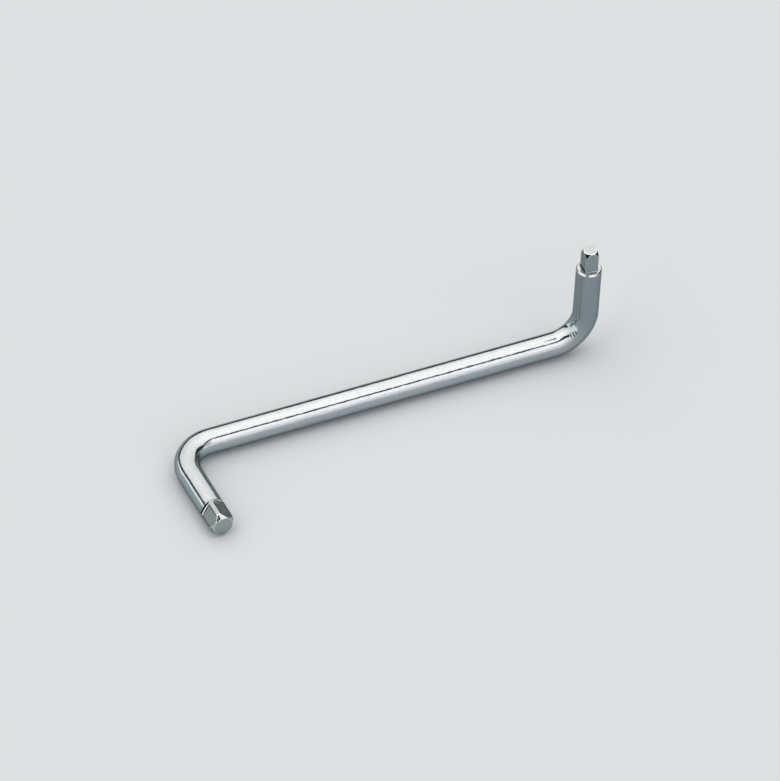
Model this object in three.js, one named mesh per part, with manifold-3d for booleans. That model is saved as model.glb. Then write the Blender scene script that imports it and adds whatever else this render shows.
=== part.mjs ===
// Drain plug key: one round steel bar bent at a right angle at each end.
// Millimetres, +Z up. The key lies on its shank and its lower arm, the upper arm
// stands up, and the origin is at the middle of the bottom of the key's box.

import * as THREE from 'three';
import { mergeVertices } from 'three/addons/utils/BufferGeometryUtils.js';
import Module from 'manifold-3d';

// Bar and bends, at the bar's axis
const BAR_DIAMETER = 15;
const SHANK_SPAN = 259; // between the axes of the two arms
const LOWER_BEND_RADIUS = 22;
const UPPER_BEND_RADIUS = 20;

// Lower arm and its large square, milled on the full bar
const LOWER_ARM_REACH = 67.5; // from the shank's axis to the end face
const LARGE_SQUARE = 12; // across flats
const LARGE_SQUARE_LENGTH = 14;
const LARGE_END_DIAMETER = 11.8; // of the end face inside its chamfer
const LARGE_SQUARE_TURN = 60; // degrees about the arm's axis

// Upper arm and its small square, milled on a turned-down end
const UPPER_ARM_REACH = 67;
const SMALL_SQUARE = 8;
const SMALL_SQUARE_LENGTH = 13.5;
const SMALL_END_DIAMETER = 7.8;
const SMALL_SQUARE_TURN = -4;
const SMALL_CORNER_TRIM = 0.1; // turned off each corner of the small square
const SHOULDER_CHAMFER = 0.8; // around the rim of the small square's shoulder

// Turned chamfer at the end of both squares
const END_CHAMFER_SLOPE = 28; // degrees between the chamfer and the arm's axis

// Facets
const BAR_FACETS = 48;
const BEND_STEPS = 16;
const DRIVE_FACETS = 96;

const wasm = await Module();
wasm.setup();

const radians = THREE.MathUtils.degToRad;
const barRadius = BAR_DIAMETER / 2;

const PLATED_BAR = new THREE.MeshStandardMaterial({
  color: 0xb9bfc2,
  metalness: 1,
  roughness: 0.22,
});
const PLATED_DRIVE = new THREE.MeshStandardMaterial({
  color: 0x9ea3a6,
  metalness: 1,
  roughness: 0.34,
});

// Quarter circle from the shank's axis (+X) up to an arm's axis (+Z).
// The two axes cross at the origin.
class QuarterBend extends THREE.Curve {
  constructor(radius) {
    super();
    this.radius = radius;
  }

  getPoint(t, target = new THREE.Vector3()) {
    const angle = (t * Math.PI) / 2;
    const x = this.radius * (Math.sin(angle) - 1);
    const z = this.radius * (1 - Math.cos(angle));
    return target.set(x, 0, z);
  }

  getTangent(t, target = new THREE.Vector3()) {
    const angle = (t * Math.PI) / 2;
    return target.set(Math.cos(angle), 0, Math.sin(angle));
  }
}

function barSection() {
  const points = [];
  for (let i = 0; i < BAR_FACETS; i += 1) {
    const angle = (2 * Math.PI * i) / BAR_FACETS;
    points.push(new THREE.Vector2(barRadius * Math.cos(angle), barRadius * Math.sin(angle)));
  }
  return new THREE.Shape(points);
}

// Straight bar along +Z from z = 0
function straightBar(length) {
  return new THREE.ExtrudeGeometry(barSection(), { depth: length, bevelEnabled: false });
}

function bentBar(bendRadius) {
  const extrudePath = new QuarterBend(bendRadius);
  return new THREE.ExtrudeGeometry(barSection(), { steps: BEND_STEPS, extrudePath, bevelEnabled: false });
}

// Solid of revolution about Z, from a profile of [radius, z] pairs that goes up
function turned(profile, facets) {
  const points = profile.map(([radius, z]) => new THREE.Vector2(radius, z));
  return new THREE.LatheGeometry(points, facets).rotateX(Math.PI / 2);
}

function toSolid(geometry) {
  const bare = geometry.clone();
  bare.deleteAttribute('normal');
  bare.deleteAttribute('uv');
  const merged = mergeVertices(bare);
  const vertProperties = new Float32Array(merged.attributes.position.array);
  const triVerts = new Uint32Array(merged.index.array);
  return new wasm.Manifold(new wasm.Mesh({ numProp: 3, vertProperties, triVerts }));
}

function toGeometry(solid) {
  const mesh = solid.getMesh();
  const geometry = new THREE.BufferGeometry();
  geometry.setAttribute('position', new THREE.BufferAttribute(mesh.vertProperties, 3));
  geometry.setIndex(new THREE.BufferAttribute(mesh.triVerts, 1));
  geometry.computeVertexNormals();
  return geometry;
}

// Square drive along +Z from its shoulder at z = 0: a turned end with its four flats milled
function squareDrive({ square, length, cornerRadius, endDiameter, turn }) {
  const endRadius = endDiameter / 2;
  const chamferLength = (cornerRadius - endRadius) / Math.tan(radians(END_CHAMFER_SLOPE));
  const blank = turned([
    [0, 0],
    [cornerRadius, 0],
    [cornerRadius, length - chamferLength],
    [endRadius, length],
    [0, length],
  ], DRIVE_FACETS);
  const flats = new THREE.BoxGeometry(square, square, 3 * length).rotateZ(radians(turn));
  return toGeometry(toSolid(blank).intersect(toSolid(flats)));
}

function section(name, geometry, material, z = 0) {
  const mesh = new THREE.Mesh(geometry, material);
  mesh.name = name;
  mesh.position.z = z;
  return mesh;
}

// Bend, straight arm and drive, with the arm along +Z and the shank arriving from -X
function arm({ bendName, armName, driveName, bendRadius, armGeometry, shoulder, drive }) {
  const group = new THREE.Group();
  group.add(section(bendName, bentBar(bendRadius), PLATED_BAR));
  group.add(section(armName, armGeometry, PLATED_BAR, bendRadius));
  group.add(section(driveName, squareDrive(drive), PLATED_DRIVE, shoulder));
  return group;
}

// Lower arm: its square's corners are what is left of the bar's round surface
function lowerArm() {
  const shoulder = LOWER_ARM_REACH - LARGE_SQUARE_LENGTH;
  const group = arm({
    bendName: 'lower_bend',
    armName: 'lower_arm',
    driveName: 'large_square_drive',
    bendRadius: LOWER_BEND_RADIUS,
    armGeometry: straightBar(shoulder - LOWER_BEND_RADIUS),
    shoulder,
    drive: {
      square: LARGE_SQUARE,
      length: LARGE_SQUARE_LENGTH,
      cornerRadius: barRadius,
      endDiameter: LARGE_END_DIAMETER,
      turn: LARGE_SQUARE_TURN,
    },
  });
  group.position.x = -SHANK_SPAN / 2;
  group.rotation.set(Math.PI / 2, 0, Math.PI);
  return group;
}

// Upper arm: a flat round shoulder with a chamfered rim carries the small square
function upperArm() {
  const shoulder = UPPER_ARM_REACH - SMALL_SQUARE_LENGTH;
  const length = shoulder - UPPER_BEND_RADIUS;
  const group = arm({
    bendName: 'upper_bend',
    armName: 'upper_arm',
    driveName: 'small_square_drive',
    bendRadius: UPPER_BEND_RADIUS,
    armGeometry: turned([
      [0, 0],
      [barRadius, 0],
      [barRadius, length - SHOULDER_CHAMFER],
      [barRadius - SHOULDER_CHAMFER, length],
      [0, length],
    ], BAR_FACETS),
    shoulder,
    drive: {
      square: SMALL_SQUARE,
      length: SMALL_SQUARE_LENGTH,
      cornerRadius: SMALL_SQUARE / Math.SQRT2 - SMALL_CORNER_TRIM,
      endDiameter: SMALL_END_DIAMETER,
      turn: SMALL_SQUARE_TURN,
    },
  });
  group.position.x = SHANK_SPAN / 2;
  return group;
}

function shank() {
  const length = SHANK_SPAN - LOWER_BEND_RADIUS - UPPER_BEND_RADIUS;
  const geometry = straightBar(length).rotateY(Math.PI / 2);
  const mesh = section('grip_shank', geometry, PLATED_BAR);
  mesh.position.x = LOWER_BEND_RADIUS - SHANK_SPAN / 2;
  return mesh;
}

// The shank's axis lies a bar radius above the floor, and the box is centred on the origin
const key = new THREE.Group();
key.add(shank(), lowerArm(), upperArm());
key.position.set(0, (LOWER_ARM_REACH - barRadius) / 2, barRadius);

export default key;
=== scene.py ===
import math

import bpy
import numpy as np
from mathutils import Matrix, Vector


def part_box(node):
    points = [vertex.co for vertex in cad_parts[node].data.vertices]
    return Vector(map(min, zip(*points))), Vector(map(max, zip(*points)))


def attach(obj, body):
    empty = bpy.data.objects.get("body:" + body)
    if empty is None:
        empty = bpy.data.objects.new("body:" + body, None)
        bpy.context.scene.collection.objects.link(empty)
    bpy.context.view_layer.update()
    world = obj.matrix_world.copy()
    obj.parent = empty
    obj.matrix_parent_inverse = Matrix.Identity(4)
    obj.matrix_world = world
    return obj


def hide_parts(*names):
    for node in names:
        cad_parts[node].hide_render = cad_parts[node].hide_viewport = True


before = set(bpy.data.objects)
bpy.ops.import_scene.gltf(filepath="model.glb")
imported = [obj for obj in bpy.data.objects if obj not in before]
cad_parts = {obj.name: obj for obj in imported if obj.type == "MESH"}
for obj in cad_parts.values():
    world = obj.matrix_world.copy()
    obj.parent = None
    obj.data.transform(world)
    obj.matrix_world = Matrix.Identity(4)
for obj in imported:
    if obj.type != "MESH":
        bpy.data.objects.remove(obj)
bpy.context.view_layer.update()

MM = 0.001

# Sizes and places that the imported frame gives, in metres
shank_low, shank_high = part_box("grip_shank")
lower_low, lower_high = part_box("lower_arm")
upper_low, upper_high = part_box("upper_arm")
large_low, large_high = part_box("large_square_drive")
small_low, small_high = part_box("small_square_drive")
BAR_RADIUS = (shank_high.z - shank_low.z) / 2
SHANK_Y = (shank_low.y + shank_high.y) / 2
SHANK_Z = (shank_low.z + shank_high.z) / 2
LOWER_X = (lower_low.x + lower_high.x) / 2
UPPER_X = (upper_low.x + upper_high.x) / 2
LOWER_BEND_RADIUS = shank_low.x - LOWER_X
UPPER_BEND_RADIUS = UPPER_X - shank_high.x
LARGE_LENGTH = large_high.y - large_low.y
SMALL_LENGTH = small_high.z - small_low.z

# Square drives
LARGE_SQUARE = 12 * MM  # across flats
LARGE_END_DIAMETER = 11.8 * MM  # of the end face inside its chamfer
LARGE_TURN = math.radians(60)  # about the arm's axis
LARGE_RIM = 0.15 * MM  # chamfer round the shoulder's rim
SMALL_SQUARE = 8 * MM
SMALL_END_DIAMETER = 7.8 * MM
SMALL_TURN = math.radians(-4)
SMALL_RIM = 0.8 * MM
SMALL_CORNER_TRIM = 0.1 * MM  # turned off each corner of the small square
CHAMFER_SLOPE = math.radians(28)  # between the end chamfer and the arm's axis
DRIVE_LEAD = 2 * MM  # of the bar behind the shoulder, which belongs to the drive's mesh

# Camera of the photograph, whose frame is 780 by 781 pixels
PHOTO_WIDTH = 780
PHOTO_HEIGHT = 781
PIXELS_PER_METRE = 1738
VIEW_AZIMUTH = math.radians(-27.36)
VIEW_ELEVATION = math.radians(42.64)
VIEW_ROLL = math.radians(3.66)
VIEW_DISTANCE = 6.0
SENSOR_WIDTH = 36
CLIP_END = 100
SHANK_MIDDLE_PIXEL = (380.7, 393.0)

X_AXIS = Vector((1, 0, 0))
Y_AXIS = Vector((0, 1, 0))
Z_AXIS = Vector((0, 0, 1))


# Camera

def make_camera():
    cos_e = math.cos(VIEW_ELEVATION)
    back = Vector((
        math.sin(VIEW_AZIMUTH) * cos_e,
        -math.cos(VIEW_AZIMUTH) * cos_e,
        math.sin(VIEW_ELEVATION),
    ))
    level = Vector((math.cos(VIEW_AZIMUTH), math.sin(VIEW_AZIMUTH), 0))
    right = Matrix.Rotation(VIEW_ROLL, 3, back) @ level
    up = back.cross(right)
    offset_x = (PHOTO_WIDTH / 2 - SHANK_MIDDLE_PIXEL[0]) / PIXELS_PER_METRE
    offset_y = (SHANK_MIDDLE_PIXEL[1] - PHOTO_HEIGHT / 2) / PIXELS_PER_METRE
    target = Vector((0, SHANK_Y, SHANK_Z)) + right * offset_x + up * offset_y

    data = bpy.data.cameras.new("photo_camera")
    data.sensor_width = SENSOR_WIDTH
    data.lens = SENSOR_WIDTH * VIEW_DISTANCE * PIXELS_PER_METRE / PHOTO_WIDTH
    data.clip_end = CLIP_END
    camera = bpy.data.objects.new("photo_camera", data)
    axes = Matrix((right, up, back)).transposed()
    camera.matrix_world = Matrix.Translation(target + back * VIEW_DISTANCE) @ axes.to_4x4()
    bpy.context.scene.collection.objects.link(camera)
    bpy.context.scene.camera = camera


# Node helpers

def add_node(tree, kind, inputs=None, **settings):
    node = tree.nodes.new(kind)
    for name, value in settings.items():
        setattr(node, name, value)
    for name, value in (inputs or {}).items():
        if isinstance(value, bpy.types.NodeSocket):
            tree.links.new(value, node.inputs[name])
        else:
            node.inputs[name].default_value = value
    return node


def math_node(tree, operation, first, second=0.0):
    node = add_node(tree, "ShaderNodeMath", {0: first, 1: second}, operation=operation)
    return node.outputs[0]


def ramp(tree, value, low, high, out_low=0.0, out_high=1.0):
    node = add_node(
        tree,
        "ShaderNodeMapRange",
        {"Value": value, "From Min": low, "From Max": high, "To Min": out_low, "To Max": out_high},
        interpolation_type="SMOOTHSTEP",
    )
    return node.outputs["Result"]


def product(tree, first, *others):
    for other in others:
        first = math_node(tree, "MULTIPLY", first, other)
    return first


# Studio light, as regions of the sky. A direction is given by its x, y and z, with the right, the back and
# up positive. A bright roof comes down at the back and at the left, a panel stands in front, a strip lies
# low at the left, and a faint glow lies low at both sides of a dim room. Dark gaps part the roof from the
# front panel and the strip. A pair of places says where a change starts and where it ends.

ROOF_COLOUR = (1.1, 1.0, 0.95, 1)
ROOF_RADIANCE = (1.55, 1.97)  # at its lower edge and overhead
ROOF_HEIGHTS = (0.45, 0.95)
ROOF_SOFTNESS = 0.05
ROOF_EDGE_RIGHT = 0.5  # height of the roof's lower edge
ROOF_EDGE_BACK = (0.25, 0.38, 0.24)  # at the back's left, middle and right
ROOF_EDGE_LEFT = (-0.04, 0.24)  # beside the object and further back
ROOF_BACK_START = (0.1, 0.45)
ROOF_BACK_RISE = (0.1, 0.35)  # from the back's left to its middle
ROOF_BACK_FALL = (0.4, 0.6)  # from the back's middle to its right
ROOF_LEFT_END = (-0.45, -0.2)
ROOF_LEFT_RISE = (-0.05, 0.2)

FRONT_COLOUR = (1.06, 0.98, 0.985, 1)
FRONT_RADIANCE = (1.95, 1.0)  # near the gap over the panel and further from it
FRONT_FADE = (0.3, 0.9)
FRONT_FOOT = (-0.05, 0.0)
FRONT_SIDE = (0.38, 0.65)  # where the panel dims towards the right
FRONT_SIDE_DIM = 0.45
FRONT_TILT = math.radians(31)  # of the gap over the panel, from straight up
FRONT_SLANT = 0.2  # how fast that gap moves back towards the left
FRONT_ORIGIN = 0.338
FRONT_GAP_HALF = (0.25, 0.1)  # at the left and at the right
FRONT_GAP_SIDES = (-0.4, 0.3)
CORNER_TURN = math.radians(40)  # of the gap at the panel's left, from straight ahead
CORNER_GAP = (0.13, 0.19)
CORNER_LEAN = 0.2  # how far that gap is shifted at the floor
CORNER_LEAN_TOP = 0.35
GAP_SOFTNESS = 0.03

STRIP_COLOUR = (1.04, 1.0, 0.97, 1)
STRIP_RADIANCE = 1.5
STRIP_BACK = (0.48, 0.58)
STRIP_SIDE = (-0.35, -0.2)
STRIP_FOOT = (-0.02, 0.08)
STRIP_LEAN = 0.75  # how fast the strip's top and the roof's edge above it fall towards the right
STRIP_GAP = (-0.24, 0.04)  # between the strip's top and that edge

ROOM_COLOUR = (0.9, 0.98, 1.0, 1)
ROOM_RADIANCE = 0.06
GLOW_TOP = (0.12, 0.22)
RIGHT_RADIANCE = (0.55, 0.27)  # in front and further back
RIGHT_DEPTH = (-0.1, 0.1)
RIGHT_START = (0.4, 0.55)
LEFT_RADIANCE = 0.3
LEFT_END = (-0.5, -0.3)


# How far a direction lies past the gap between the roof and the front panel
def past_front_gap(tree, x, y, z):
    ahead = math_node(tree, "MULTIPLY", y, -math.cos(FRONT_TILT))
    upright = math_node(tree, "MULTIPLY", z, -math.sin(FRONT_TILT))
    leftwards = math_node(tree, "SUBTRACT", FRONT_ORIGIN, math_node(tree, "MAXIMUM", x, 0.0))
    slant = math_node(tree, "MULTIPLY", leftwards, FRONT_SLANT)
    return math_node(tree, "ADD", math_node(tree, "ADD", ahead, upright), slant)


# How far a direction lies to the right of the gap at the front panel's left, which leans near the floor
def past_corner_gap(tree, x, y, z):
    rightwards = math_node(tree, "MULTIPLY", x, math.cos(CORNER_TURN))
    ahead = math_node(tree, "MULTIPLY", y, -math.sin(CORNER_TURN))
    flat = math_node(tree, "ADD", rightwards, ahead)
    return math_node(tree, "SUBTRACT", flat, ramp(tree, z, 0.0, CORNER_LEAN_TOP, CORNER_LEAN, 0.0))


# Height of the roof's lower edge in each direction
def roof_edge(tree, x, y, over_strip):
    left, middle, right = ROOF_EDGE_BACK
    falls = ramp(tree, x, *ROOF_BACK_FALL, 0.0, middle - right)
    back = math_node(tree, "SUBTRACT", ramp(tree, x, *ROOF_BACK_RISE, left, middle), falls)
    behind = ramp(tree, y, *ROOF_BACK_START)
    side = math_node(tree, "MULTIPLY", math_node(tree, "SUBTRACT", 1.0, behind), ROOF_EDGE_RIGHT)
    rest = math_node(tree, "ADD", side, math_node(tree, "MULTIPLY", behind, back))
    beside = ramp(tree, x, *ROOF_LEFT_END, 1.0, 0.0)
    towards_left = math_node(tree, "MULTIPLY", beside, ramp(tree, y, *ROOF_LEFT_RISE, *ROOF_EDGE_LEFT))
    elsewhere = math_node(tree, "MULTIPLY", rest, math_node(tree, "SUBTRACT", 1.0, beside))
    return math_node(tree, "MAXIMUM", math_node(tree, "ADD", towards_left, elsewhere), over_strip)


def roof_light(tree, z, before_gap, past_corner, edge):
    behind = ramp(tree, before_gap, -GAP_SOFTNESS, GAP_SOFTNESS, 1.0, 0.0)
    leftward = ramp(tree, past_corner, -CORNER_GAP[1], -CORNER_GAP[0], 1.0, 0.0)
    above_edge = math_node(tree, "SUBTRACT", z, edge)
    return product(
        tree,
        math_node(tree, "MAXIMUM", behind, leftward),
        ramp(tree, above_edge, -ROOF_SOFTNESS, ROOF_SOFTNESS),
        ramp(tree, z, *ROOF_HEIGHTS, *ROOF_RADIANCE),
    )


def front_light(tree, x, z, past_front, after_gap, past_corner):
    return product(
        tree,
        ramp(tree, after_gap, -GAP_SOFTNESS, GAP_SOFTNESS),
        ramp(tree, past_corner, *CORNER_GAP),
        ramp(tree, z, *FRONT_FOOT),
        ramp(tree, past_front, *FRONT_FADE, *FRONT_RADIANCE),
        ramp(tree, x, *FRONT_SIDE, 1.0, FRONT_SIDE_DIM),
    )


def strip_light(tree, x, z, far_left, leaning):
    height = math_node(tree, "SUBTRACT", z, leaning)
    top = STRIP_GAP[0]
    return product(
        tree,
        far_left,
        ramp(tree, x, *STRIP_SIDE, 1.0, 0.0),
        ramp(tree, height, top - ROOF_SOFTNESS, top + ROOF_SOFTNESS, 1.0, 0.0),
        ramp(tree, z, *STRIP_FOOT),
        STRIP_RADIANCE,
    )


def room_light(tree, x, y, z):
    low = ramp(tree, z, *GLOW_TOP, 1.0, 0.0)
    along_right = ramp(tree, y, *RIGHT_DEPTH, *RIGHT_RADIANCE)
    right = product(tree, low, ramp(tree, x, *RIGHT_START), along_right)
    left = product(tree, low, ramp(tree, x, *LEFT_END, 1.0, 0.0), LEFT_RADIANCE)
    return math_node(tree, "ADD", math_node(tree, "ADD", left, right), ROOM_RADIANCE)


def make_studio():
    world = bpy.data.worlds.new("studio")
    world.use_nodes = True
    tree = world.node_tree
    tree.nodes.clear()
    direction = add_node(tree, "ShaderNodeTexCoord").outputs["Generated"]
    split = add_node(tree, "ShaderNodeSeparateXYZ", {"Vector": direction})
    x, y, z = split.outputs["X"], split.outputs["Y"], split.outputs["Z"]

    past_front = past_front_gap(tree, x, y, z)
    past_corner = past_corner_gap(tree, x, y, z)
    gap_half = ramp(tree, x, *FRONT_GAP_SIDES, *FRONT_GAP_HALF)
    before_gap = math_node(tree, "ADD", past_front, gap_half)
    after_gap = math_node(tree, "SUBTRACT", past_front, gap_half)
    far_left = ramp(tree, y, *STRIP_BACK)
    leaning = math_node(tree, "MULTIPLY", x, -STRIP_LEAN)
    over_strip = math_node(tree, "MULTIPLY", far_left, math_node(tree, "ADD", leaning, STRIP_GAP[1]))

    def glow(colour, strength):
        return add_node(tree, "ShaderNodeBackground", {"Color": colour, "Strength": strength}).outputs[0]

    def together(first, second):
        return add_node(tree, "ShaderNodeAddShader", {0: first, 1: second}).outputs[0]

    edge = roof_edge(tree, x, y, over_strip)
    roof = glow(ROOF_COLOUR, roof_light(tree, z, before_gap, past_corner, edge))
    front = glow(FRONT_COLOUR, front_light(tree, x, z, past_front, after_gap, past_corner))
    strip = glow(STRIP_COLOUR, strip_light(tree, x, z, far_left, leaning))
    room = glow(ROOM_COLOUR, room_light(tree, x, y, z))
    lights = together(roof, together(together(front, strip), room))
    add_node(tree, "ShaderNodeOutputWorld", {"Surface": lights})
    bpy.context.scene.world = world


# Floor

FLOOR_HALF = 3.0
FLOOR_COLOUR = (0.455, 0.508, 0.534, 1)
FLOOR_ROUGHNESS = 0.9
FLOOR_SPECULAR = 0.1


def make_floor():
    corners = [
        (-FLOOR_HALF, -FLOOR_HALF, 0),
        (FLOOR_HALF, -FLOOR_HALF, 0),
        (FLOOR_HALF, FLOOR_HALF, 0),
        (-FLOOR_HALF, FLOOR_HALF, 0),
    ]
    mesh = bpy.data.meshes.new("floor")
    mesh.from_pydata(corners, [], [(0, 1, 2, 3)])
    material = bpy.data.materials.new("floor_paper")
    material.use_nodes = True
    shader = material.node_tree.nodes["Principled BSDF"]
    shader.inputs["Base Color"].default_value = FLOOR_COLOUR
    shader.inputs["Roughness"].default_value = FLOOR_ROUGHNESS
    shader.inputs["Specular IOR Level"].default_value = FLOOR_SPECULAR
    mesh.materials.append(material)
    floor = bpy.data.objects.new("floor", mesh)
    bpy.context.scene.collection.objects.link(floor)


# Materials

EDGE_TINT = (0.48, 0.53, 0.56, 1)  # darkens the metal at glancing angles


def metal(name):
    material = bpy.data.materials.new(name)
    material.use_nodes = True
    shader = material.node_tree.nodes["Principled BSDF"]
    shader.inputs["Metallic"].default_value = 1.0
    shader.inputs["Specular Tint"].default_value = EDGE_TINT
    return material, material.node_tree, shader


def read_attribute(tree, name, output="Fac"):
    return add_node(tree, "ShaderNodeAttribute", attribute_name=name).outputs[output]


# Noise whose cells measure the given lengths along the three directions of the grain
def grain_noise(tree, grain, cell, detail=3.0, roughness=0.55):
    scale = tuple(1 / length for length in cell)
    vector = add_node(tree, "ShaderNodeVectorMath", {0: grain, 1: scale}, operation="MULTIPLY")
    settings = {"Vector": vector.outputs["Vector"], "Scale": 1.0, "Detail": detail, "Roughness": roughness}
    return add_node(tree, "ShaderNodeTexNoise", settings).outputs[0]


def weighted(tree, first, share, second):
    kept = math_node(tree, "MULTIPLY", first, share)
    return math_node(tree, "ADD", kept, math_node(tree, "MULTIPLY", second, 1 - share))


def blend_colour(tree, amount, first, second):
    node = add_node(tree, "ShaderNodeMix", data_type="RGBA")
    factor, low, high = (s for s in node.inputs if s.enabled)
    tree.links.new(amount, factor)
    for socket, colour in ((low, first), (high, second)):
        if isinstance(colour, bpy.types.NodeSocket):
            tree.links.new(colour, socket)
        else:
            socket.default_value = colour
    return next(s for s in node.outputs if s.enabled)


def add_bump(tree, height, depth, strength, normal=None):
    inputs = {"Height": height, "Distance": depth, "Strength": strength}
    if normal:
        inputs["Normal"] = normal
    return add_node(tree, "ShaderNodeBump", inputs).outputs["Normal"]


# Plated bar: satin, with faint dents and fine polishing lines that follow the bar round its bends. The
# grip's colour is the lightest and the arms' colour darker, which is painted shade. A cell of noise
# measures two lengths across the grain and one along it.

STREAK_RANGE = (0.32, 0.68)

# The dull pair is a painted shade of the bright pair. The arms take it, so their colour is darker than the
# grip's.
BAR_SHADED = ((0.235, 0.29, 0.315, 1), (0.295, 0.35, 0.375, 1))  # darkest and lightest streaks
BAR_BRIGHT = ((0.37, 0.42, 0.44, 1), (0.45, 0.5, 0.52, 1))
BAR_LINES = (0.5 * MM, 0.5 * MM, 22 * MM)
BAR_LINES_SHARE = 0.55  # of the streaks, whose rest is specks
BAR_SPECKS = (0.8 * MM, 0.8 * MM, 1.2 * MM)
BAR_HAZE = (6 * MM, 6 * MM, 18 * MM)
BAR_HAZE_RANGE = (0.35, 0.7)
BAR_DENTS = (2.5 * MM, 2.5 * MM, 6 * MM)
BAR_ROUGHNESS = (0.05, 0.12)
BAR_HAZE_ROUGHNESS = 0.05
BAR_DULL_ROUGHNESS = 0.1  # added where the bar is least polished
BAR_DULL_END = 0.4  # polish at which none is added
BAR_DENT_DEPTH = 0.25 * MM
BAR_DENT_STRENGTH = 0.3
BAR_STREAK_DEPTH = 0.03 * MM
BAR_STREAK_STRENGTH = 0.4


def plated_bar():
    material, tree, shader = metal("plated_bar")
    grain = read_attribute(tree, "grain", "Vector")
    polish_and_shade = read_attribute(tree, "polish_and_shade")
    lines = grain_noise(tree, grain, BAR_LINES)
    specks = grain_noise(tree, grain, BAR_SPECKS, detail=2.0)
    haze = grain_noise(tree, grain, BAR_HAZE)
    dents = grain_noise(tree, grain, BAR_DENTS, detail=2.0)

    streaks = weighted(tree, lines, BAR_LINES_SHARE, specks)
    shade = ramp(tree, streaks, *STREAK_RANGE)
    shaded = blend_colour(tree, shade, *BAR_SHADED)
    bright = blend_colour(tree, shade, *BAR_BRIGHT)
    # Colour goes from the dull pair on the arms to the bright pair on the grip: painted shade on the arms
    tree.links.new(blend_colour(tree, polish_and_shade, shaded, bright), shader.inputs["Base Color"])

    streaky = ramp(tree, streaks, *STREAK_RANGE, *BAR_ROUGHNESS)
    hazy = math_node(tree, "ADD", streaky, ramp(tree, haze, *BAR_HAZE_RANGE, 0.0, BAR_HAZE_ROUGHNESS))
    rough = math_node(tree, "ADD", hazy, ramp(tree, polish_and_shade, 0.0, BAR_DULL_END, BAR_DULL_ROUGHNESS, 0.0))
    tree.links.new(rough, shader.inputs["Roughness"])

    dented = add_bump(tree, dents, BAR_DENT_DEPTH, BAR_DENT_STRENGTH)
    streaked = add_bump(tree, streaks, BAR_STREAK_DEPTH, BAR_STREAK_STRENGTH, dented)
    tree.links.new(streaked, shader.inputs["Normal"])
    return material


# Milled drive: duller, with faint cutter lines, edges rubbed bright, partly as painted highlight, and
# painted shade in its inner corners, beside its flats' edges and on its end chamfers

DRIVE_MILLED = ((0.24, 0.285, 0.295, 1), (0.32, 0.37, 0.38, 1))  # darkest and lightest streaks
DRIVE_TURNED = (0.35, 0.405, 0.42, 1)
# Near-white rubbed colour: partly worn metal, partly painted highlight
DRIVE_RUBBED_HIGHLIGHT = (0.9, 0.93, 0.93, 1)
# Near-black colour: painted shade in inner corners and beside edges, and painted dark reflection on the end
# chamfers
DRIVE_PAINTED_SHADE = (0.006, 0.007, 0.007, 1)
DRIVE_LINES = (7 * MM, 7 * MM, 0.35 * MM)
DRIVE_LINES_SHARE = 0.6  # of the streaks, whose rest is specks
DRIVE_SPECKS = (0.7 * MM, 0.7 * MM, 0.7 * MM)
DRIVE_ROUGHNESS = (0.15, 0.23)
DRIVE_ROUGHNESS_RANGE = (0.3, 0.7)
TURNED_ROUGHNESS = 0.35  # of a milled face's roughness
DRIVE_STREAK_DEPTH = 0.02 * MM
DRIVE_STREAK_STRENGTH = 0.2


def plated_drive():
    material, tree, shader = metal("plated_drive")
    grain = read_attribute(tree, "grain", "Vector")
    wear_and_highlight = read_attribute(tree, "wear_and_highlight")
    painted_shade = read_attribute(tree, "painted_shade")
    turned = read_attribute(tree, "turned")
    lines = grain_noise(tree, grain, DRIVE_LINES, roughness=0.6)
    specks = grain_noise(tree, grain, DRIVE_SPECKS, detail=2.0)

    streaks = weighted(tree, lines, DRIVE_LINES_SHARE, specks)
    milled = blend_colour(tree, ramp(tree, streaks, *STREAK_RANGE), *DRIVE_MILLED)
    faced = blend_colour(tree, turned, milled, DRIVE_TURNED)
    # Rubbed places turn near-white: partly wear, partly painted highlight
    rubbed_and_highlighted = blend_colour(tree, wear_and_highlight, faced, DRIVE_RUBBED_HIGHLIGHT)
    # Near-black where this mark is set: painted shade
    tree.links.new(blend_colour(tree, painted_shade, rubbed_and_highlighted, DRIVE_PAINTED_SHADE), shader.inputs["Base Color"])

    rough = ramp(tree, streaks, *DRIVE_ROUGHNESS_RANGE, *DRIVE_ROUGHNESS)
    smoother = product(tree, rough, ramp(tree, turned, 0.0, 1.0, 1.0, TURNED_ROUGHNESS))
    tree.links.new(smoother, shader.inputs["Roughness"])
    streaked = add_bump(tree, streaks, DRIVE_STREAK_DEPTH, DRIVE_STREAK_STRENGTH)
    tree.links.new(streaked, shader.inputs["Normal"])
    return material


# Meshes made of closed rings of points. An attribute has one value for each point of each ring.

SHARP_ANGLE = math.radians(45)


def ring_mesh(name, rings, attributes):
    count, around, _ = rings.shape
    points = np.concatenate([rings.reshape(-1, 3), rings[0].mean(0)[None], rings[-1].mean(0)[None]])
    first_centre = count * around
    last_centre = first_centre + 1
    faces = []
    for i in range(count - 1):
        for j in range(around):
            k = (j + 1) % around
            faces.append((i * around + j, i * around + k, (i + 1) * around + k, (i + 1) * around + j))
    last = (count - 1) * around
    for j in range(around):
        k = (j + 1) % around
        faces.append((first_centre, k, j))
        faces.append((last_centre, last + j, last + k))

    mesh = bpy.data.meshes.new(name)
    mesh.from_pydata(points.tolist(), [], faces)
    mesh.shade_smooth()
    mesh.set_sharp_from_angle(angle=SHARP_ANGLE)
    for attribute, values in attributes.items():
        add_attribute(mesh, attribute, values)
    return mesh


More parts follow.
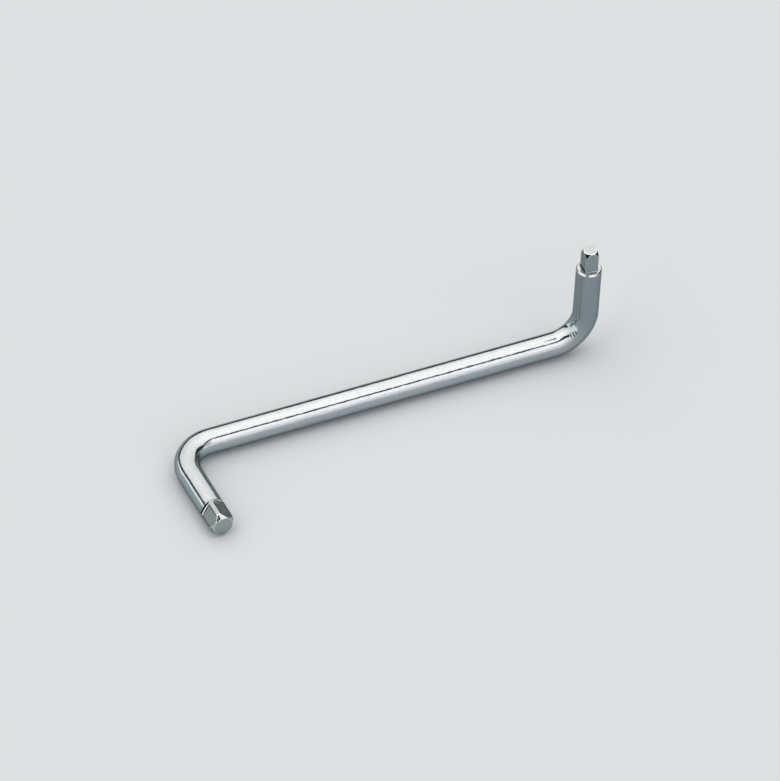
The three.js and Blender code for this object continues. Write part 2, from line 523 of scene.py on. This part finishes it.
# The two cap centres take the mean values of the first and the last ring
def add_attribute(mesh, name, values):
    caps = np.stack([values[0].mean(0), values[-1].mean(0)])
    flat = values.reshape(-1, *values.shape[2:])
    everything = np.concatenate([flat, caps]).astype(np.float32)
    if values.ndim == 3:
        attribute = mesh.attributes.new(name, "FLOAT_VECTOR", "POINT")
        attribute.data.foreach_set("vector", everything.ravel())
    else:
        attribute = mesh.attributes.new(name, "FLOAT", "POINT")
        attribute.data.foreach_set("value", everything)


def add_piece(mesh, material, nodes):
    piece = bpy.data.objects.new(mesh.name, mesh)
    bpy.context.scene.collection.objects.link(piece)
    mesh.materials.append(material)
    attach(piece, "root")
    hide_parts(*nodes)
    return piece


# Bar: arms, bends and shank in one sweep from the lower arm to the upper one

BAR_POINTS = 144
STRAIGHT_STEP = 4 * MM
BEND_STEPS = 180

# How polished each stretch is; the same value darkens its colour, which is painted shade on the arms
LOWER_POLISH_AND_SHADE = 0.65
SHANK_POLISH_AND_SHADE = 1.0
UPPER_POLISH_AND_SHADE = 0.0

# Fine wrinkles that the upper bend pressed into its inner side
WRINKLE_BENDS = (35.5, 41.0, 46.5, 52.0)  # degrees round the bend
WRINKLE_DEPTHS = (0.06 * MM, 0.09 * MM, 0.08 * MM, 0.06 * MM)
WRINKLE_WIDTH = 1.1  # degrees round the bend
WRINKLE_SIDE = math.radians(32)  # middle of the wrinkles, from the innermost line towards the front
WRINKLE_SPREAD = math.radians(26)


def smooth_step(t):
    return t * t * (3 - 2 * t)


# Bell curve, 1 at its middle
def bell(value, middle, width):
    return np.exp(-(((value - middle) / width) ** 2))


# A station is a place, the bar's direction there, its polish and painted shade, and the depth of its
# wrinkles
def straight_stations(start, end, polish_and_shade):
    steps = max(2, round((end - start).length / STRAIGHT_STEP))
    direction = (end - start).normalized()
    return [(start.lerp(end, i / steps), direction, polish_and_shade, 0.0) for i in range(steps + 1)]


def bend_stations(start, first, last, radius, polish_and_shade_before, polish_and_shade_after, wrinkles=()):
    centre = start + last * radius
    stations = []
    for i in range(BEND_STEPS + 1):
        share = i / BEND_STEPS
        angle = math.pi / 2 * share
        place = centre + (first * math.sin(angle) - last * math.cos(angle)) * radius
        tangent = first * math.cos(angle) + last * math.sin(angle)
        polish_and_shade = polish_and_shade_before + (polish_and_shade_after - polish_and_shade_before) * smooth_step(share)
        depth = 0.0
        for bend, deepest in wrinkles:
            depth += deepest * bell(math.degrees(angle), bend, WRINKLE_WIDTH)
        stations.append((place, tangent, polish_and_shade, depth))
    return stations


def bar_stations():
    lower_end = Vector((LOWER_X, large_high.y + DRIVE_LEAD, SHANK_Z))
    lower_tangent = Vector((LOWER_X, lower_high.y, SHANK_Z))
    shank_start = Vector((shank_low.x, SHANK_Y, SHANK_Z))
    shank_end = Vector((shank_high.x, SHANK_Y, SHANK_Z))
    upper_tangent = Vector((UPPER_X, SHANK_Y, upper_low.z))
    upper_end = Vector((UPPER_X, SHANK_Y, small_low.z - DRIVE_LEAD))
    lower_bend = bend_stations(
        lower_tangent, Y_AXIS, X_AXIS, LOWER_BEND_RADIUS, LOWER_POLISH_AND_SHADE, SHANK_POLISH_AND_SHADE
    )
    upper_bend = bend_stations(
        shank_end, X_AXIS, Z_AXIS, UPPER_BEND_RADIUS, SHANK_POLISH_AND_SHADE, UPPER_POLISH_AND_SHADE,
        wrinkles=tuple(zip(WRINKLE_BENDS, WRINKLE_DEPTHS)),
    )
    return (
        straight_stations(lower_end, lower_tangent, LOWER_POLISH_AND_SHADE)
        + lower_bend[1:]
        + straight_stations(shank_start, shank_end, SHANK_POLISH_AND_SHADE)[1:]
        + upper_bend[1:]
        + straight_stations(upper_tangent, upper_end, UPPER_POLISH_AND_SHADE)[1:]
    )


# Angles start at the innermost line of the upper bend and turn towards the front
def make_bar(material):
    angles = np.linspace(0, 2 * math.pi, BAR_POINTS, endpoint=False)
    from_wrinkles = (angles - WRINKLE_SIDE + math.pi) % (2 * math.pi) - math.pi
    wrinkled = bell(from_wrinkles, 0, WRINKLE_SPREAD)
    unrolled = np.stack([np.cos(angles), np.sin(angles)], axis=1) * BAR_RADIUS
    side = Z_AXIS.copy()
    rings = []
    grain = []
    polish_and_shade = []
    travelled = 0.0
    previous = None
    for place, tangent, polish_and_shade_here, depth in bar_stations():
        if previous:
            travelled += (place - previous[0]).length
            side = previous[1].rotation_difference(tangent) @ side
        previous = (place, tangent)
        circle = np.outer(np.cos(angles), side) + np.outer(np.sin(angles), tangent.cross(side))
        radius = BAR_RADIUS - depth * wrinkled
        rings.append(np.array(place) + circle * radius[:, None])
        grain.append(np.column_stack([unrolled, np.full(BAR_POINTS, travelled)]))
        polish_and_shade.append(np.full(BAR_POINTS, polish_and_shade_here))
    mesh = ring_mesh("key_bar", np.array(rings), {"grain": np.array(grain), "polish_and_shade": np.array(polish_and_shade)})
    nodes = ("grip_shank", "lower_bend", "lower_arm", "upper_bend", "upper_arm")
    add_piece(mesh, material, nodes)


# Square drives: a profile turned about the arm's axis, drawn in at the flats

QUARTER_POINTS = 72
FINE_ANGLES = 2000  # from which those points are picked
EDGE_DENSITY = 6  # how much closer together they lie near a flat's edges
EDGE_DENSITY_WIDTH = math.radians(1.4)
ARC_STEPS = 6

EDGE_SOFTNESS = 0.12 * MM  # rounding between a flat and a corner
EDGE_BREAK = 0.15 * MM  # rounding of the shoulder's rim
CHAMFER_BREAK = 0.3 * MM  # rounding of the end chamfer's two rims
CHAMFER_MARGIN = 0.25 * MM  # a narrower end chamfer carries no painted shade
CHAMFER_CORNER = 1.1 * MM  # width past which the end chamfer belongs to the corner
FLAT_END_BREAK = 0.12 * MM  # least width of the end chamfer, at a flat's middle
WALL_DRAFT = 0.02 * MM  # keeps the profile's points apart where there is no step
RIM_SHARE = 0.4  # most of a shoulder's height that its rim takes
ROUNDING_SHARE = 0.45  # most of a profile's side that one rounding takes
FOOT_CHANGE = 0.25  # share of the foot's curve over which the painted shade gives way to the bright rub, partly painted highlight

# How a flat ends at its shoulder: how far the cutter ran out into the bar and the fillet at the foot, then
# the painted shade on the wall, in the foot, on the end chamfer's two halves and on its widest stretch at
# the corner, and the bright rub, partly wear and partly painted highlight, on the shoulder's rim, the foot
# and the rim of the end face
SQUARE_STEP = {
    "run_out": 0.0, "fillet": 0.7 * MM,
    "wall": 1.0, "foot": 0.0, "chamfer": (1.0, 0.0), "corner": 0.0,
    "rim_rub_highlight": 0.0, "foot_rub_highlight": 1.0, "end_rub_highlight": 0.4,
}
CURVED_STEP = {
    "run_out": 1.1 * MM, "fillet": 1.2 * MM,
    "wall": 0.0, "foot": 0.0, "chamfer": (0.0, 0.0), "corner": 0.0,
    "rim_rub_highlight": 0.0, "foot_rub_highlight": 0.0, "end_rub_highlight": 0.4,
}
TURNED_STEP = {
    "run_out": 0.0, "fillet": 0.9 * MM,
    "wall": 0.0, "foot": 0.2, "chamfer": (1.0, 1.0), "corner": 1.0,
    "rim_rub_highlight": 0.3, "foot_rub_highlight": 0.0, "end_rub_highlight": 1.0,
}
# One quarter of the small drive also takes painted shade in its foot
SHADED_STEP = TURNED_STEP | {"foot": 1.0}
SHADE_LENGTH = 0.8 * MM  # of the wall's painted shade on the bar, where the wall is low
SHADE_FADE = 0.06 * MM

# A flat's two long edges: a bright rub on each, partly painted highlight, and a painted shade line beside
# it, as angles about the arm's axis
EDGE_HIGHLIGHT_WIDTH = math.radians(1.2)
EDGE_SHADE_INSET = math.radians(3.2)
EDGE_SHADE_WIDTH = math.radians(2.6)


# Angles from a flat's normal, closer together near the flat's edges
def quarter_angles(edge):
    fine = np.linspace(-math.pi / 4, math.pi / 4, FINE_ANGLES)
    density = 1 + EDGE_DENSITY * bell(np.abs(fine), edge, EDGE_DENSITY_WIDTH)
    total = np.concatenate([[0], np.cumsum((density[1:] + density[:-1]) / 2)])
    wanted = np.linspace(0, total[-1], QUARTER_POINTS, endpoint=False)
    return np.interp(wanted, total, fine)


# The smaller of two values, with a rounded change from one to the other
def soft_min(first, second, softness):
    blend = np.maximum(softness - np.abs(first - second), 0) / softness
    return np.minimum(first, second) - blend * blend * softness / 4


# Corner of a profile, as a curve that starts and ends a rounding away from it
def round_corner(before, corner, after, rounding):
    reach_in = min(rounding, ROUNDING_SHARE * np.linalg.norm(corner - before))
    reach_out = min(rounding, ROUNDING_SHARE * np.linalg.norm(after - corner))
    start = corner + (before - corner) / np.linalg.norm(before - corner) * reach_in
    end = corner + (after - corner) / np.linalg.norm(after - corner) * reach_out
    share = np.linspace(0, 1, ARC_STEPS + 1)[:, None]
    return start * (1 - share) ** 2 + corner * 2 * share * (1 - share) + end * share ** 2


# Corners of the profile at one angle, from the bar to the end face, as radius and height
def profile_corners(radius, end_here, deepest, length, rim, step):
    drop = BAR_RADIUS - radius
    rim_here = min(rim, RIM_SHARE * drop)
    run_out = step["run_out"] * math.sqrt(drop / deepest)
    chamfer_start = length - (radius - end_here) / math.tan(CHAMFER_SLOPE)
    return np.array([
        (BAR_RADIUS, -DRIVE_LEAD),
        (BAR_RADIUS, -run_out - rim_here - WALL_DRAFT),
        (BAR_RADIUS - rim_here, -run_out),
        (radius, WALL_DRAFT),
        (radius, chamfer_start),
        (end_here, length),
        (end_here / 2, length),
    ])


# Bright rub (partly wear, partly painted highlight), painted shade and turned share along the five rounded
# corners: the shoulder's two, the foot and the end chamfer's two. Where the drive keeps the bar's round,
# stepped is 0, and where it steps down from it, 1.
def corner_marks(chamfer_width, stepped, step, half):
    share = np.linspace(0, 1, ARC_STEPS + 1)
    inside = np.sin(np.pi * share)
    onwards = np.maximum(2 * share - 1, 0)
    plain = np.zeros_like(share)
    whole = np.ones_like(share)
    up_foot = np.minimum(share / FOOT_CHANGE, 1)
    on_wall = step["wall"] * stepped * whole
    on_rim = step["rim_rub_highlight"] * whole
    wide = np.clip(chamfer_width / CHAMFER_MARGIN - 1, 0, 1)
    at_corner = np.clip((chamfer_width - CHAMFER_CORNER) / CHAMFER_MARGIN, 0, 1)
    on_chamfer = step["chamfer"][half] * wide * (1 - at_corner * (1 - step["corner"]))

    foot_wear_and_highlight = step["foot_rub_highlight"] * stepped * up_foot
    end_wear_and_highlight = inside * max(step["end_rub_highlight"], wide)
    in_foot = step["foot"] * inside + on_wall * (1 - up_foot)
    # Bright rub: partly wear, partly painted highlight
    wear_and_highlight = (on_rim, on_rim, foot_wear_and_highlight, inside, end_wear_and_highlight)
    # Painted shade on the wall, in the foot and on the end chamfer
    painted_shade = (on_wall, on_wall, in_foot, on_chamfer * onwards, on_chamfer * onwards[::-1])
    turned = (plain, plain, plain, share, whole)
    return zip(wear_and_highlight, painted_shade, turned)


# The drive at one angle, from the bar to the middle of the end face: rows of radius, height, bright rub
# (partly painted highlight), painted shade and turned share
def drive_profile(radius, deepest, end_radius, length, rim, step, half):
    end_here = min(end_radius, radius - FLAT_END_BREAK)
    drop = BAR_RADIUS - radius
    stepped = min(drop / SHADE_FADE, 1)
    corners = profile_corners(radius, end_here, deepest, length, rim, step)
    rounding = (EDGE_BREAK, EDGE_BREAK, step["fillet"], CHAMFER_BREAK, CHAMFER_BREAK)
    curves = []
    for i, marks in enumerate(corner_marks(radius - end_here, stepped, step, half)):
        curve = round_corner(*corners[i:i + 3], rounding[i])
        curves.append(np.column_stack([curve, *marks]))

    # Painted shade runs from the wall onto the bar, further where the wall is low
    shade_start = curves[0][0, 1] - SHADE_LENGTH * (1 - drop / deepest)
    start = np.array([
        (*corners[0], 0, 0, 0),
        (BAR_RADIUS, shade_start - SHADE_FADE, 0, 0, 0),
        (BAR_RADIUS, shade_start, 0, step["wall"] * stepped, 0),
    ])
    past_foot = np.array([(radius, curves[2][-1, 1] + SHADE_FADE, 0, 0, 0)])
    middle = np.array([(*corners[-1], 0, 0, 1)])
    return np.concatenate([start, *curves[:3], past_foot, *curves[3:], middle])


def make_drive(
    name, node, material, base, axis, first, square, end_radius, length, turn, corner_radius, rim,
    edge_rub_highlight, edge_shade_line, steps,
):
    edge = math.acos(square / 2 / corner_radius)
    quarter = quarter_angles(edge)
    halves = (quarter > 0).astype(int)
    radii = soft_min(square / 2 / np.cos(quarter), corner_radius, EDGE_SOFTNESS)
    deepest = BAR_RADIUS - square / 2
    profiles = np.array([
        drive_profile(r, deepest, end_radius, length, rim, step, half)
        for step in steps
        for r, half in zip(radii, halves)
    ])
    radius, height, wear_and_highlight, painted_shade, turned = profiles.transpose(2, 1, 0)

    angles = np.concatenate([quarter + turn + i * math.pi / 2 for i in range(4)])
    local = np.stack([np.cos(angles), np.sin(angles)], axis=1)
    out = local @ np.array([first, axis.cross(first)])
    rings = np.array(base) + radius[:, :, None] * out[None] + height[:, :, None] * np.array(axis)

    on_edge = np.tile(bell(np.abs(quarter), edge, EDGE_HIGHLIGHT_WIDTH), 4)
    beside_edge = np.tile(bell(np.abs(quarter), edge - EDGE_SHADE_INSET, EDGE_SHADE_WIDTH), 4)
    on_flat = np.clip(height / SHADE_LENGTH, 0, 1) * (1 - turned)
    attributes = {
        "grain": np.concatenate([radius[:, :, None] * local[None], height[:, :, None]], axis=2),
        # Bright rub on the flats' long edges, partly painted highlight
        "wear_and_highlight": np.maximum(wear_and_highlight, edge_rub_highlight * on_edge[None] * on_flat),
        # Painted shade line beside the flats' long edges
        "painted_shade": np.maximum(painted_shade, edge_shade_line * beside_edge[None] * on_flat),
        "turned": turned,
    }
    piece = add_piece(ring_mesh(name, rings, attributes), material, (node,))
    piece.modifiers.new("flat_faces", "WEIGHTED_NORMAL").keep_sharp = True


def make_drives(material):
    make_drive(
        "large_square",
        "large_square_drive",
        material,
        base=Vector((LOWER_X, large_high.y, SHANK_Z)),
        axis=-Y_AXIS,
        first=X_AXIS,
        square=LARGE_SQUARE,
        end_radius=LARGE_END_DIAMETER / 2,
        length=LARGE_LENGTH,
        turn=LARGE_TURN,
        corner_radius=BAR_RADIUS,
        rim=LARGE_RIM,
        edge_rub_highlight=0.3,
        edge_shade_line=0.75,
        steps=(CURVED_STEP, SQUARE_STEP, CURVED_STEP, SQUARE_STEP),
    )
    make_drive(
        "small_square",
        "small_square_drive",
        material,
        base=Vector((UPPER_X, SHANK_Y, small_low.z)),
        axis=Z_AXIS,
        first=X_AXIS,
        square=SMALL_SQUARE,
        end_radius=SMALL_END_DIAMETER / 2,
        length=SMALL_LENGTH,
        turn=SMALL_TURN,
        corner_radius=SMALL_SQUARE / math.sqrt(2) - SMALL_CORNER_TRIM,
        rim=SMALL_RIM,
        edge_rub_highlight=0.15,
        edge_shade_line=0.0,
        steps=(TURNED_STEP, TURNED_STEP, SHADED_STEP, TURNED_STEP),
    )


bpy.context.scene.view_settings.view_transform = "Standard"
make_camera()
make_studio()
make_floor()
make_bar(plated_bar())
make_drives(plated_drive())
